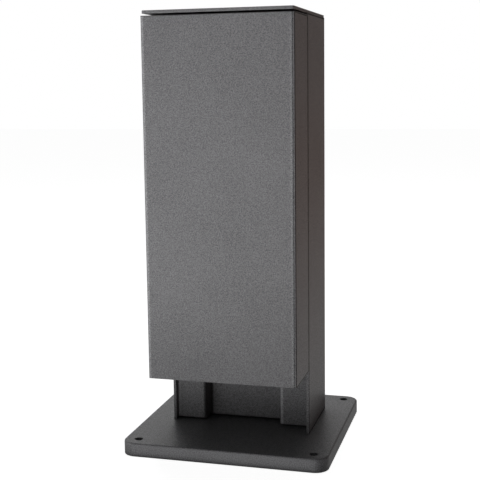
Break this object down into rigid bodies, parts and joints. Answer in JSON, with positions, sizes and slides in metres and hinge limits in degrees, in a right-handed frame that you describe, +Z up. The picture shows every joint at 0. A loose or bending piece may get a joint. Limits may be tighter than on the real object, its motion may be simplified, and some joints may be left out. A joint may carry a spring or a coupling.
{
  "type": "garden socket post",
  "caption": "Free-standing outdoor socket post: square sheet metal column on a foot plate, with a full-height hinged door over panel sockets with sprung lids.",
  "frame": {"origin": "centre of the foot plate's underside", "axes": "+Z up, -Y out of the door's front, +X to the right of someone who faces the door"},
  "size_m": [0.21, 0.2, 0.44],
  "materials": {
    "powder_coat": "anthracite fine texture powder coat",
    "zinc_steel": "zinc plated steel sheet",
    "screw_steel": "stainless steel",
    "spring_steel": "bright spring wire",
    "socket_plastic": "black moulded, fine spark texture",
    "lid_plastic": "dark grey moulded, matt",
    "seal_rubber": "black rubber",
    "contact_brass": "bare brass",
    "cover_plastic": "grey moulded",
    "gland_plastic": "light grey polyamide",
    "terminal_plastic": "off-white moulded",
    "magnet_metal": "nickel plated magnet",
    "wire_brown": "brown wire insulation",
    "wire_blue": "blue wire insulation",
    "wire_green_yellow": "green and yellow wire insulation"
  },
  "bodies": {
    "post": {"base_plate": "powder_coat", "post_shell": "powder_coat", "top_cap": "powder_coat", "mounting_tray": "powder_coat", "cap_screws": "screw_steel", "foot_screws": "screw_steel", "foot_nuts": "screw_steel", "tray_screws": "screw_steel", "rivet_nuts": "screw_steel", "tray_rail_left": "zinc_steel", "tray_rail_right": "zinc_steel", "hinge_bracket_lower": "zinc_steel", "hinge_bracket_upper": "zinc_steel", "hinge_pins": "screw_steel", "hinge_washers": "screw_steel", "hinge_screws": "screw_steel", "catch_housing": "socket_plastic", "catch_magnet": "magnet_metal", "catch_screws": "screw_steel", "gland_body": "gland_plastic", "gland_locknut": "gland_plastic", "gland_seal": "seal_rubber", "gland_nut": "gland_plastic", "terminal_block": "terminal_plastic", "terminal_sleeves": "contact_brass", "terminal_screws": "screw_steel", "terminal_fixings": "screw_steel", "earth_stud": "screw_steel", "earth_nut": "screw_steel", "live_wires": "wire_brown", "neutral_wires": "wire_blue", "earth_wires": "wire_green_yellow", "socket_screws": "screw_steel", "socket_flange_seals": "seal_rubber", "socket_rear_covers": "cover_plastic", "lid_pins": "screw_steel", "socket_body_1": "socket_plastic", "socket_contacts_1": "contact_brass", "lid_spring_1": "spring_steel", "socket_body_2": "socket_plastic", "socket_contacts_2": "contact_brass", "lid_spring_2": "spring_steel", "socket_body_3": "socket_plastic", "socket_contacts_3": "contact_brass", "lid_spring_3": "spring_steel", "socket_body_4": "socket_plastic", "socket_contacts_4": "contact_brass", "lid_spring_4": "spring_steel"},
    "door": {"door_panel": "powder_coat", "door_lug_lower": "zinc_steel", "door_lug_upper": "zinc_steel", "strike_plate": "zinc_steel"},
    "lid_1": {"socket_lid_1": "lid_plastic", "lid_seal_1": "seal_rubber"},
    "lid_2": {"socket_lid_2": "lid_plastic", "lid_seal_2": "seal_rubber"},
    "lid_3": {"socket_lid_3": "lid_plastic", "lid_seal_3": "seal_rubber"},
    "lid_4": {"socket_lid_4": "lid_plastic", "lid_seal_4": "seal_rubber"}
  },
  "joints": [
    {"name": "door_hinge", "type": "hinge", "parent": "post", "child": "door", "pos_m": [-0.067, -0.034, 0.25], "axis": [0, 0, -1], "range_deg": [0, 110]},
    {"name": "lid_hinge_1", "type": "hinge", "parent": "post", "child": "lid_1", "pos_m": [0, -0.0072, 0.1625], "axis": [-1, 0, 0], "range_deg": [0, 100], "stiffness_Nm_per_rad": 0.006, "springref_deg": -17.19},
    {"name": "lid_hinge_2", "type": "hinge", "parent": "post", "child": "lid_2", "pos_m": [0, -0.0072, 0.2425], "axis": [-1, 0, 0], "range_deg": [0, 100], "stiffness_Nm_per_rad": 0.006, "springref_deg": -17.19},
    {"name": "lid_hinge_3", "type": "hinge", "parent": "post", "child": "lid_3", "pos_m": [0, -0.0072, 0.3225], "axis": [-1, 0, 0], "range_deg": [0, 100], "stiffness_Nm_per_rad": 0.006, "springref_deg": -17.19},
    {"name": "lid_hinge_4", "type": "hinge", "parent": "post", "child": "lid_4", "pos_m": [0, -0.0072, 0.4025], "axis": [-1, 0, 0], "range_deg": [0, 100], "stiffness_Nm_per_rad": 0.006, "springref_deg": -17.19}
  ]
}
